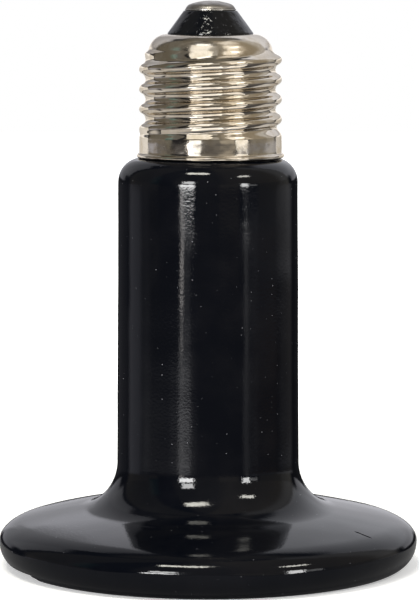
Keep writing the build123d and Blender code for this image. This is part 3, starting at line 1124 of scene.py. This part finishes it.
@dataclass
class ScrewCap:
    """The rolled cap: shell, glass, plate and solder."""

    plate_finish: NickelPlate = NickelPlate()
    glass_finish: BlackGlass = BlackGlass()
    contact_finish: DullMetal = DullMetal(
        "worn_plate", "nickel_plate", (0.50, 0.48, 0.45), (0.26, 0.25, 0.23), 0.26
    )
    solder_finish: DullMetal = DullMetal()
    thread: Thread = Thread()
    shift: float = 0.45
    sheet: float = 0.3
    foot_height: float = 75.2
    skirt_radius: float = 13.05
    lip_reach: float = 0.45
    lip_root: float = 0.2
    lip_root_rise: float = 0.16
    thread_foot: float = 79.0
    skirt_gap: float = 0.05
    thread_head: float = 95.0
    run_in: float = 2.4
    run_out: float = 1.6
    dome_radius: float = 3.5
    dome_reach: float = 7.85
    dome_height: float = 94.2
    fit_gap: float = 0.05
    cone_foot: float = 97.95
    cone_top: float = 101.95
    cone_top_radius: float = 4.85
    cone_foot_rings: tuple[Point, ...] = ((0.0, -0.12), (0.02, -0.03), (0.09, 0.09))
    cone_top_rings: tuple[Point, ...] = ((0.12, -0.17), (0.0, -0.04), (-0.12, 0.0))
    glass_chamfer: float = 0.1
    insulator_bore: float = 1.5
    plate_radius: float = 4.65
    plate_thickness: float = 0.35
    shank_radius: float = 1.3
    shank_length: float = 2.5
    shank_chamfer: float = 0.1
    solder_radius: float = 4.55
    solder_rise: float = 1.45
    solder_crown: float = 11.2
    solder_edge: float = 1.3

    @staticmethod
    def ease(t: float) -> float:
        """A smooth step from 0 to 1."""
        t = min(max(t, 0.0), 1.0)
        return t * t * (3 - 2 * t)

    def plain_radius(self, height: float) -> float:
        """Radius that the shell would have without its thread.

        Args:
            height: The height that it is asked at.

        Returns:
            The outside radius.
        """
        if height > self.dome_height:
            return self.dome_reach + math.sqrt(self.dome_radius**2 - (height - self.dome_height) ** 2)
        fall = (height - self.thread_foot) / (self.dome_height - self.thread_foot)
        widening = self.dome_reach + self.dome_radius - self.skirt_radius
        return self.skirt_radius + widening * self.ease(fall)

    def thread_share(self, height: float) -> float:
        """How far the shell follows the thread at a height."""
        run_in = self.ease((height - self.thread_foot) / self.run_in)
        return run_in * self.ease((self.thread_head - height) / self.run_out)

    def threaded_rows(self, outline: Outline, start: float, end: float, steps: int) -> None:
        """Adds rings of the threaded wall from one height to another.

        Args:
            outline: The outline that gets them.
            start: The first ring's height.
            end: The last ring's height.
            steps: How many rings follow the first.
        """
        for i in range(steps + 1):
            height = start + (end - start) * i / steps
            outline.point(self.plain_radius(height) - outline.inset, height, self.thread_share(height))

    def shell_outline(self) -> Outline:
        """The outline of the shell, up its outside and down its inside.

        Returns:
            The rings of the closed sheet.
        """
        outline = Outline(shift=self.shift)
        inside = self.skirt_radius - self.sheet
        lip_z = self.foot_height + self.lip_reach
        outline.point(inside, self.foot_height)
        outline.uneven = 1.0
        outline.arc((self.skirt_radius, lip_z), (self.lip_reach,) * 2, start=-90, sweep=168, steps=14)
        outline.uneven = 0.5
        root = self.lip_root
        foot = (self.skirt_radius + root, lip_z + self.lip_reach + self.lip_root_rise)
        outline.arc(foot, (root, root), start=258, sweep=-78, steps=5)
        outline.line((self.skirt_radius, self.thread_foot - self.skirt_gap), steps=8)
        outline.uneven = 0.3
        self.threaded_rows(outline, self.thread_foot, self.thread_head, steps=150)
        start = math.degrees(math.asin((self.thread_head - self.dome_height) / self.dome_radius))
        dome = (self.dome_reach, self.dome_height)
        outline.arc(dome, (self.dome_radius,) * 2, start + 3, 86 - start, steps=22)
        outline.uneven = 0.0
        outline.inset = self.sheet
        round_off = self.sheet / 2
        edge = (self.dome_reach, self.dome_height + self.dome_radius - round_off)
        outline.arc(edge, (round_off,) * 2, start=90, sweep=180, steps=6)
        inner = self.dome_radius - self.sheet
        outline.arc(dome, (inner, inner), 86, start - 84, steps=8)
        self.threaded_rows(outline, self.thread_head, self.thread_foot, steps=56)
        outline.line((inside, self.foot_height), steps=3)
        return outline

    def glass_outline(self) -> Outline:
        """The outline of the glass from its foot in the bore, round and back down the bore.

        Returns:
            The rings of the whole cone.
        """
        outline = Outline(shift=self.shift)
        seat = self.dome_radius - self.sheet - self.fit_gap
        start = math.degrees(math.asin((self.thread_head - self.dome_height) / seat))
        foot = self.dome_reach + seat * math.cos(math.radians(start)) - self.glass_chamfer
        neck = self.dome_reach - self.fit_gap
        outline.point(self.insulator_bore, self.thread_head)
        outline.line((foot, self.thread_head), steps=3)
        dome = (self.dome_reach, self.dome_height)
        outline.arc(dome, (seat, seat), start + OVERLAP, 87 - start, steps=12)
        outline.point(neck, self.dome_height + seat)
        for number, (inset, rise) in enumerate(self.cone_foot_rings):
            outline.uneven = float(number > 0)
            outline.point(neck - inset, self.cone_foot + rise)
        (reach, drop), *rings = self.cone_top_rings
        outline.line((self.cone_top_radius + reach, self.cone_top + drop), steps=16)
        for reach, rise in rings:
            outline.point(self.cone_top_radius + reach, self.cone_top + rise)
        outline.uneven = 0.0
        outline.line((self.insulator_bore, self.cone_top), steps=3)
        outline.line((self.insulator_bore, self.thread_head), steps=4)
        return outline

    def plate_outline(self) -> Outline:
        """The outline of the round plate with its shank.

        Returns:
            The rings of the plate.
        """
        outline = Outline(shift=self.shift)
        foot = self.cone_top - self.shank_length
        top = self.cone_top + self.plate_thickness
        half = self.plate_thickness / 2
        outline.point(0.0, foot)
        outline.line((self.shank_radius - self.shank_chamfer, foot))
        outline.point(self.shank_radius, foot + self.shank_chamfer)
        outline.line((self.shank_radius, self.cone_top), steps=2)
        outline.uneven = 0.4
        outline.line((self.plate_radius - half, self.cone_top), steps=3)
        edge = (self.plate_radius - half, self.cone_top + half)
        outline.arc(edge, (half, half), start=-80, sweep=160, steps=8)
        outline.point(self.plate_radius - half, top)
        outline.line((0.0, top), steps=3)
        return outline

    def solder_outline(self) -> Outline:
        """The outline of the dome of solder.

        Returns:
            The rings of the dome.
        """
        outline = Outline(shift=self.shift)
        foot = self.cone_top + self.plate_thickness
        crown_z = foot + self.solder_rise - self.solder_crown
        edge_x = self.solder_radius - self.solder_edge
        edge_z = crown_z + math.sqrt((self.solder_crown - self.solder_edge) ** 2 - edge_x**2)
        meet = math.degrees(math.atan2(edge_z - crown_z, edge_x))
        start = math.degrees(math.asin((foot - edge_z) / self.solder_edge))
        outline.point(0.0, foot)
        outline.line((edge_x, foot), steps=3)
        outline.uneven = 0.6
        outline.arc((edge_x, edge_z), (self.solder_edge,) * 2, start, meet - start, steps=12)
        outline.arc((0.0, crown_z), (self.solder_crown,) * 2, meet + OVERLAP, 90 - OVERLAP - meet, steps=14)
        return outline

    def build(self) -> list[bpy.types.Object]:
        """Makes the four pieces of the cap.

        Returns:
            The finished pieces.
        """
        tree = TurningTree("turned")
        shell, glass = self.shell_outline(), self.glass_outline()
        plate, solder = self.plate_outline(), self.solder_outline()
        jobs = (
            ("rolled_shell", shell, 256, self.plate_finish, "screw_shell", Uneven(0.10, 0.8, 12.0)),
            ("glass_cone", glass, 160, self.glass_finish, "tip_insulator", Uneven(0.12, 0.7, 10.0)),
            ("round_contact", plate, 128, self.contact_finish, "contact_plate", Uneven(0.08, 0.9, 13.0)),
            ("solder_cap", solder, 128, self.solder_finish, "contact_solder", Uneven(0.16, 0.6, 10.0)),
        )
        pieces = []
        for name, outline, segments, finish, node, uneven in jobs:
            piece = tree.turn(name, outline, segments, finish.build(), (self.thread, uneven))
            hand_over(piece, node)
            pieces.append(piece)
        return pieces


# What the casting and the cap hold


@dataclass
class HiddenParts:
    """The CAD nodes that keep their own shape: cement, coil and leads."""

    cement: Cement = Cement()
    coil: DullMetal = DullMetal(
        "resistance_wire", "resistance_wire", (0.38, 0.36, 0.34), (0.2, 0.19, 0.18), 0.5
    )
    lead: DullMetal = DullMetal("lead_wire", "lead_wire", (0.60, 0.58, 0.54), (0.4, 0.38, 0.36), 0.3)

    def dress(self, nodes: Mapping[str, bpy.types.Object]) -> None:
        """Gives each carried-over node its finish.

        Args:
            nodes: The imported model's nodes by name.
        """
        finishes = {
            "cap_cement": self.cement.build(),
            "heating_coil": self.coil.build(),
            "live_lead": self.lead.build(),
        }
        finishes["neutral_lead"] = finishes["live_lead"]
        for name, material in finishes.items():
            nodes[name].data.materials.clear()
            nodes[name].data.materials.append(material)
            log.info("%s keeps its shape and gets %s", name, material.name)


# The studio


class Receiver(Enum):
    """What a lamp shines on: polished metal would burn out where black glaze only shows a highlight."""

    METAL = "INCLUDE"
    REST = "EXCLUDE"


class RayKind(Enum):
    """The rays that see the studio's picture rather than its plain light."""

    CAMERA = "Is Camera Ray"
    GLOSSY = "Is Glossy Ray"
    TRANSMISSION = "Is Transmission Ray"


@dataclass(frozen=True)
class Panel:
    """A lit part of the studio, in degrees seen from the object.

    Across, 0 is the viewer's side and + is right. Up, 0 is level.
    """

    left: float
    right: float
    low: float
    high: float
    colour: Colour
    soft_across: float = 2.0
    soft_low: float = 1.0
    soft_high: float = 2.0


@dataclass(frozen=True)
class Lamp:
    """A small soft lamp at an angle across and up, with its size as seen from the object."""

    name: str
    across: float
    up: float
    width: float
    height: float
    radiance: float
    colour: Colour = (1.0, 1.0, 1.0)

    def size(self, distance: float) -> list[float]:
        """Width and height in metres at a distance in millimetres."""
        halves = [math.tan(math.radians(span / 2)) for span in (self.width, self.height)]
        return [2 * distance * half * MILLIMETRE for half in halves]


@dataclass
class Studio:
    """Floor, backdrop, lamps and camera."""

    floor_radius: float = 1500.0
    floor_sides: int = 128
    # Out to this radius, reflections see the floor dark grey; beyond it they see through the floor, while
    # the camera sees the floor white throughout.
    stand_radius: float = 76.0
    stand_softness: float = 0.1
    fade_radius: float = 200.0
    fade_softness: float = 0.5
    floor_colour: Colour = (0.86, 0.86, 0.86)
    stand_colour: Colour = (0.25, 0.25, 0.26)
    floor_lift: float = 0.35
    far_lift: float = 0.9
    ambient: float = 0.5
    backdrop: Colour = (1.0, 1.0, 1.0)
    lamp_distance: float = 3000.0
    aim_height: float = 70.0
    eye_distance: float = 620.0
    eye_height: float = 112.7
    look_height: float = 50.0
    focal_length: float = 203.99
    sensor: float = 36.0
    shift_x: float = 1.5 / 600
    shift_y: float = -5.1 / 600
    gloom: Colour = (0.02, 0.02, 0.022)
    panels: tuple[Panel, ...] = (
        # Behind the object, from level to high
        Panel(-250.0, -166.0, -3.0, 13.0, (0.60, 0.60, 0.64), 2.0, 0.6, 4.0),
        Panel(-166.0, -136.0, 1.5, 13.0, (0.42, 0.42, 0.45), 3.0, 1.0, 4.0),
        Panel(136.0, 166.0, 1.5, 13.0, (0.62, 0.62, 0.66), 3.0, 1.0, 4.0),
        Panel(-250.0, -170.5, 13.0, 58.0, (1.02, 1.02, 1.10), 1.6, 4.0, 4.0),
        Panel(-170.5, -145.0, 13.0, 55.0, (0.47, 0.47, 0.50), 1.6, 4.0, 4.0),
        Panel(-145.0, -126.0, 13.0, 46.0, (0.55, 0.55, 0.58), 1.6, 4.0, 3.0),
        Panel(166.0, 192.0, -3.0, 13.0, (0.78, 0.78, 0.83), 3.0, 0.6, 4.0),
        Panel(126.0, 192.0, 13.0, 54.0, (0.88, 0.89, 0.95), 3.0, 4.0, 5.0),
        # Below level: behind, then on the viewer's side
        Panel(-250.0, -100.0, -90.0, -17.0, (0.66, 0.64, 0.62), 8.0, 2.0, 3.0),
        Panel(100.0, 250.0, -90.0, -17.0, (0.66, 0.64, 0.62), 8.0, 2.0, 3.0),
        Panel(-90.0, 50.0, -40.0, -3.0, (0.075, 0.068, 0.062), 12.0, 4.0, 2.4),
        Panel(50.0, 98.0, -40.0, -7.2, (0.075, 0.07, 0.066), 6.0, 4.0, 0.6),
        Panel(56.0, 98.0, -7.2, -5.6, (0.19, 0.13, 0.08), 12.0, 0.6, 0.5),
        Panel(52.0, 98.0, -5.6, -3.0, (0.20, 0.20, 0.21), 8.0, 0.5, 1.6),
        # The pale bands down both sides of the neck
        Panel(-160.0, -124.0, -13.0, -2.6, (0.035, 0.035, 0.04), 6.0, 2.5, 1.6),
        Panel(-119.0, -96.0, -13.0, -2.6, (0.42, 0.42, 0.47), 5.0, 2.5, 1.6),
        Panel(-97.0, -80.0, -13.0, -3.0, (0.13, 0.13, 0.14), 5.0, 2.5, 1.6),
        Panel(-92.0, -40.0, -13.0, -7.3, (0.30, 0.30, 0.31), 7.0, 2.0, 1.3),
        Panel(98.0, 132.0, -4.9, -2.6, (0.40, 0.40, 0.42), 6.0, 0.6, 1.6),
        Panel(104.0, 132.0, -7.6, -4.9, (0.13, 0.12, 0.115), 6.0, 0.8, 0.6),
        Panel(100.0, 132.0, -13.0, -7.9, (0.24, 0.24, 0.25), 6.0, 2.0, 0.5),
        # The level room round the cap
        Panel(-118.0, -78.0, -2.6, 8.0, (0.18, 0.16, 0.13), 4.0, 1.6, 1.0),
        Panel(-78.0, -66.0, -3.4, 3.0, (0.16, 0.15, 0.12), 3.0, 0.6, 3.0),
        Panel(-79.0, -66.0, 4.0, 34.0, (0.02, 0.09, 0.085), 3.0, 3.0, 4.0),
        Panel(-14.0, 14.0, -3.0, 8.0, (0.16, 0.145, 0.12), 3.0, 2.6, 1.0),
        Panel(14.0, 40.0, -3.0, 8.0, (0.40, 0.355, 0.28), 3.0, 2.6, 1.0),
        Panel(66.0, 104.0, -3.0, 8.0, (0.24, 0.215, 0.17), 4.0, 2.2, 1.0),
        Panel(104.0, 126.0, -3.0, 8.0, (0.36, 0.34, 0.30), 4.0, 2.2, 1.0),
        # Walls and ceiling
        Panel(-120.0, -74.0, 8.0, 96.0, (0.14, 0.127, 0.10), 5.0, 1.0, 1.0),
        Panel(-42.0, 20.0, 8.0, 96.0, (0.14, 0.127, 0.10), 5.0, 1.0, 1.0),
        Panel(20.0, 106.0, 8.0, 96.0, (0.33, 0.285, 0.215), 9.0, 1.0, 1.0),
        Panel(106.0, 126.0, 8.0, 70.0, (0.55, 0.53, 0.50), 8.0, 1.0, 3.0),
        Panel(-250.0, -126.0, 62.0, 96.0, (0.14, 0.127, 0.10), 5.0, 4.0, 1.0),
        Panel(126.0, 250.0, 62.0, 96.0, (0.14, 0.127, 0.10), 5.0, 4.0, 1.0),
        # The long streaks on the neck
        Panel(-35.6, -31.2, -4.6, -3.0, (12.0, 11.4, 11.0), 0.7, 0.8, 0.5),
        Panel(-36.5, -30.5, -7.6, -4.4, (0.8, 0.8, 0.82), 1.0, 1.0, 0.8),
        Panel(-31.5, -23.0, -6.5, -3.2, (0.5, 0.5, 0.52), 3.0, 1.6, 0.5),
        Panel(-38.0, -22.5, -13.0, -7.3, (2.7, 2.7, 2.75), 3.5, 1.0, 0.9),
        Panel(-48.0, -15.0, -13.0, -7.3, (0.45, 0.45, 0.46), 5.0, 1.0, 1.2),
        Panel(47.0, 51.0, -6.0, -3.2, (0.7, 0.7, 0.7), 1.5, 1.2, 0.5),
        Panel(46.0, 53.0, -13.0, -5.0, (0.42, 0.42, 0.43), 3.0, 1.0, 1.0),
        Panel(53.0, 66.0, -4.6, -3.0, (0.26, 0.26, 0.27), 3.0, 0.6, 0.5),
        Panel(53.0, 66.0, -13.0, -8.0, (0.30, 0.30, 0.31), 3.0, 1.0, 0.6),
    )
    lamps: tuple[Lamp, ...] = (
        Lamp("low_left", -26.5, 2.8, 18.0, 8.6, 38.0),
        Lamp("middle_left", -25.0, 16.0, 14.0, 11.0, 24.0),
        Lamp("high_left", -20.0, 61.0, 20.0, 9.0, 30.0, (1.0, 0.98, 0.88)),
        Lamp("low_right", 48.0, 4.8, 9.0, 11.4, 28.0),
        Lamp("beside_low_right", 58.0, 3.2, 12.0, 6.0, 3.0),
        Lamp("high_right", 56.0, 40.0, 13.0, 6.0, 26.0, (1.0, 0.98, 0.90)),
    )
    metal_lamps: tuple[Lamp, ...] = (
        Lamp("metal_low_left", -24.5, 1.8, 20.0, 10.0, 1.9),
        Lamp("metal_high_left", -20.0, 61.0, 20.0, 9.0, 1.7),
        Lamp("metal_low_right", 52.0, 1.8, 20.0, 10.0, 1.35, (1.0, 0.97, 0.9)),
        Lamp("metal_high_right", 56.0, 40.0, 14.0, 7.0, 2.5),
        Lamp("metal_over_right", 62.0, 66.0, 24.0, 18.0, 0.6, (1.0, 0.96, 0.9)),
        Lamp("metal_ceiling_left", -22.0, 42.0, 33.0, 30.0, 1.1, (1.0, 0.96, 0.88)),
        Lamp("metal_ceiling_middle", 7.0, 38.0, 12.0, 32.0, 0.28, (1.0, 0.95, 0.86)),
        Lamp("metal_ceiling_right", 46.0, 34.0, 22.0, 36.0, 0.9, (1.0, 0.95, 0.86)),
        Lamp("metal_ceiling_far_right", 67.0, 34.0, 10.0, 44.0, 0.3, (1.0, 0.95, 0.86)),
        Lamp("metal_wall_left", -64.5, 45.0, 18.0, 70.0, 0.13, (1.0, 0.93, 0.8)),
        Lamp("metal_table_left", -58.0, -38.0, 60.0, 36.0, 0.5, (1.0, 0.95, 0.88)),
        Lamp("metal_table", -4.0, -36.0, 46.0, 38.0, 1.2, (1.0, 0.96, 0.9)),
        Lamp("metal_table_middle", 28.0, -36.0, 18.0, 38.0, 0.5, (1.0, 0.95, 0.88)),
        Lamp("metal_table_right", 51.0, -36.0, 26.0, 38.0, 1.2, (1.0, 0.96, 0.9)),
        Lamp("metal_back_left", -150.0, -3.0, 60.0, 24.0, 0.95, (1.0, 0.97, 0.93)),
        Lamp("metal_back_right", 155.5, -3.0, 49.0, 24.0, 0.8, (1.0, 0.97, 0.93)),
    )

    @staticmethod
    def direction(across: float, up: float) -> tuple[float, float, float]:
        """Unit vector at an angle across from the viewer's side and up from level."""
        a, e = math.radians(across), math.radians(up)
        return math.sin(a) * math.cos(e), -math.cos(a) * math.cos(e), math.sin(e)

    def seen(self, graph: Graph, kinds: Sequence[RayKind]) -> Value:
        """1 for rays of the given kinds, otherwise 0.

        Args:
            graph: The tree of a material or the world.
            kinds: The kinds of ray.

        Returns:
            The factor.
        """
        path = graph.node("ShaderNodeLightPath")
        total = path.sibling(kinds[0].value)
        for kind in kinds[1:]:
            total = graph.math("MAXIMUM", total, path.sibling(kind.value))
        return total

    def build_world(self) -> None:
        """Makes the world: white behind the object, a dim room in reflections, plain light for the rest."""
        world = bpy.data.worlds.new("studio")
        bpy.context.scene.world = world
        world.use_nodes = True
        world.node_tree.nodes.clear()
        graph = Graph(world.node_tree)
        ray = graph.node("ShaderNodeTexCoord", None, None, "Generated")
        x, y, z = graph.split(ray)
        across = graph.math("ARCTAN2", x, -y) * math.degrees(1)
        up = graph.math("ARCSINE", z) * math.degrees(1)
        picture = graph.joined(*self.gloom)
        for panel in self.panels:
            above = graph.step(up, panel.low - panel.soft_low, panel.low + panel.soft_low)
            below = graph.step(up, panel.high + panel.soft_high, panel.high - panel.soft_high)
            inside = self.across_band(graph, across, panel) * above * below
            picture = graph.plus(picture, graph.tinted(panel.colour, inside))
        mirror = self.seen(graph, (RayKind.GLOSSY, RayKind.TRANSMISSION))
        camera = self.seen(graph, (RayKind.CAMERA,))
        plain = opaque((self.ambient,) * 3)
        colour = graph.blend(mirror, plain, picture)
        colour = graph.blend(camera, colour, opaque(self.backdrop))
        background = graph.node("ShaderNodeBackground", None, {"Color": colour, "Strength": 1.0})
        graph.node("ShaderNodeOutputWorld", None, {"Surface": background})

    @staticmethod
    def across_band(graph: Graph, across: Value, panel: Panel) -> Value:
        """1 between a panel's sides, which may pass straight behind the object.

        Args:
            graph: The world's tree.
            across: The ray's angle across.
            panel: The panel.

        Returns:
            The factor.
        """
        if panel.right > 180:
            return graph.step(across, panel.left - panel.soft_across, panel.left + panel.soft_across)
        if panel.left < -180:
            return graph.step(across, panel.right + panel.soft_across, panel.right - panel.soft_across)
        return graph.band(across, panel.left, panel.right, panel.soft_across)

    @staticmethod
    def outside(graph: Graph, reach: Value, radius: float, softness: float) -> Value:
        """1 beyond a radius, with an edge that is soft by a share of it."""
        return graph.step(reach, radius * (1 - softness), radius * (1 + softness))

    def build_floor(self) -> None:
        """Makes the pale floor, which keeps the object's shadow."""
        work = bmesh.new()
        radius = self.floor_radius * MILLIMETRE
        bmesh.ops.create_circle(work, cap_ends=True, segments=self.floor_sides, radius=radius)
        mesh = bpy.data.meshes.new("floor")
        work.to_mesh(mesh)
        work.free()
        floor = bpy.data.objects.new("floor", mesh)
        bpy.context.scene.collection.objects.link(floor)
        material = bpy.data.materials.new("pale_floor")
        material.use_nodes = True
        material.node_tree.nodes.clear()
        graph = Graph(material.node_tree)
        place = graph.node("ShaderNodeTexCoord", None, None, "Object")
        reach = graph.vector("LENGTH", place).sibling("Value") / MILLIMETRE
        beyond = self.outside(graph, reach, self.stand_radius, self.stand_softness)
        far = self.outside(graph, reach, self.fade_radius, self.fade_softness)
        white = graph.node("ShaderNodeBsdfDiffuse", None, {"Color": opaque(self.floor_colour)})
        lift = self.floor_lift + far * self.far_lift
        glow = graph.node("ShaderNodeEmission", None, {"Color": graph.joined(lift, lift, lift)})
        lifted = graph.node("ShaderNodeAddShader", None, {0: white, 1: glow})
        # Darker floor round the object, seen only in reflections and other non-camera rays.
        dark_floor = graph.node("ShaderNodeBsdfDiffuse", None, {"Color": opaque(self.stand_colour)})
        clear = graph.node("ShaderNodeBsdfTransparent")
        mirrored = graph.node("ShaderNodeMixShader", None, {0: beyond, 1: dark_floor, 2: clear})
        seen = self.seen(graph, (RayKind.CAMERA,))
        shader = graph.node("ShaderNodeMixShader", None, {0: seen, 1: mirrored, 2: lifted})
        graph.node("ShaderNodeOutputMaterial", None, {"Surface": shader})
        mesh.materials.append(material)

    @staticmethod
    def receivers(metal: Sequence[bpy.types.Object]) -> dict[Receiver, bpy.types.Collection]:
        """The collections that tell the lamps what they shine on.

        Args:
            metal: The polished pieces.

        Returns:
            One collection for each kind of receiver.
        """
        groups = {}
        for receiver in Receiver:
            group = bpy.data.collections.new(f"lit_{receiver.name.lower()}")
            for piece in metal:
                group.objects.link(piece)
            for member in group.collection_objects:
                member.light_linking.link_state = receiver.value
            groups[receiver] = group
        return groups

    def build_lamps(self, metal: Sequence[bpy.types.Object]) -> None:
        """Hangs the soft lamps.

        Args:
            metal: The polished pieces, which have lamps of their own.
        """
        groups = self.receivers(metal)
        for receiver, lamps in ((Receiver.REST, self.lamps), (Receiver.METAL, self.metal_lamps)):
            for lamp in lamps:
                holder = self.hang(lamp)
                holder.light_linking.receiver_collection = groups[receiver]

    def hang(self, lamp: Lamp) -> bpy.types.Object:
        """Hangs one lamp, facing the object.

        Args:
            lamp: The lamp.

        Returns:
            Its object, hidden from the camera.
        """
        aim = (0.0, 0.0, self.aim_height)
        toward = self.direction(lamp.across, lamp.up)
        size = lamp.size(self.lamp_distance)
        light = bpy.data.lights.new(lamp.name, "AREA")
        light.shape = "RECTANGLE"
        light.size, light.size_y = size
        light.color = lamp.colour
        light.energy = lamp.radiance * math.pi * size[0] * size[1]
        holder = bpy.data.objects.new(lamp.name, light)
        bpy.context.scene.collection.objects.link(holder)
        holder.location = [(a + self.lamp_distance * t) * MILLIMETRE for a, t in zip(aim, toward)]
        holder.rotation_euler = (math.radians(90 - lamp.up), 0.0, math.radians(lamp.across))
        holder.visible_camera = False
        return holder

    def build_camera(self) -> None:
        """Sets the camera at the photograph's angle."""
        data = bpy.data.cameras.new("camera")
        data.sensor_fit = "VERTICAL"
        data.sensor_height = self.sensor
        data.lens = self.focal_length
        data.shift_x, data.shift_y = self.shift_x, self.shift_y
        camera = bpy.data.objects.new("camera", data)
        bpy.context.scene.collection.objects.link(camera)
        camera.location = (0.0, -self.eye_distance * MILLIMETRE, self.eye_height * MILLIMETRE)
        pitch = math.atan2(self.eye_height - self.look_height, self.eye_distance)
        camera.rotation_euler = (math.pi / 2 - pitch, 0.0, 0.0)
        bpy.context.scene.camera = camera

    def build(self, metal: Sequence[bpy.types.Object]) -> None:
        """Makes the whole studio.

        Args:
            metal: The polished pieces.
        """
        self.build_world()
        self.build_floor()
        self.build_lamps(metal)
        self.build_camera()
        bpy.context.scene.view_settings.view_transform = "Standard"
        lamps = len(self.lamps) + len(self.metal_lamps)
        log.info("studio: %d lamps, %d panels", lamps, len(self.panels))


def main() -> None:
    """Builds every piece in order, then the studio."""
    logging.basicConfig(level=logging.INFO, format="%(message)s")
    CeramicBody().build()
    cap = ScrewCap().build()
    HiddenParts().dress(frame["nodes"])
    Studio().build(cap[:1])


if __name__ == "__main__":
    main()
